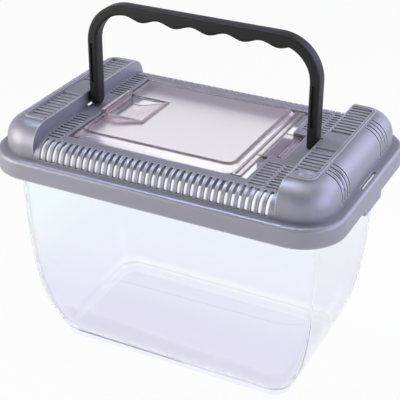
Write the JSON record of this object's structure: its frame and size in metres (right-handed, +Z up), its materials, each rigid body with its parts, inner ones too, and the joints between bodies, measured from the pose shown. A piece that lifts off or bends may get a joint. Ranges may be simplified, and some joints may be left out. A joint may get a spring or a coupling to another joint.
{
  "type": "plastic pet keeper",
  "caption": "Clear plastic tank for small pets with a ventilated lift-off lid, a tinted hinged feeding hatch and a folding carrying handle.",
  "frame": {"origin": "middle of the tank's flat underside, on the surface it stands on", "axes": "+Z up, +X along the length towards the hatch's hinge, -Y the front long side"},
  "size_m": [0.23, 0.149, 0.2235],
  "materials": {
    "clear_plastic": "glossy clear moulding, colourless with a faint blue cast",
    "grey_plastic": "satin silver grey moulding with a faint metallic sparkle",
    "smoke_plastic": "glossy clear moulding with a light smoke tint",
    "black_plastic": "satin black moulding"
  },
  "bodies": {
    "tank": {"tank": "clear_plastic"},
    "lid": {"lid": "grey_plastic"},
    "hatch": {"hatch": "smoke_plastic"},
    "handle": {"handle": "black_plastic"}
  },
  "joints": [
    {"name": "lid_lift", "type": "slide", "parent": "tank", "child": "lid", "axis": [0, 0, 1], "range_m": [0, 0.12]},
    {"name": "hatch_hinge", "type": "hinge", "parent": "lid", "child": "hatch", "pos_m": [0.0596, 0, 0.1495], "axis": [0, 1, 0], "range_deg": [0, 27]},
    {"name": "handle_pivot", "type": "hinge", "parent": "lid", "child": "handle", "pos_m": [0, 0, 0.1575], "axis": [1, 0, 0], "range_deg": [-90, 90]}
  ]
}
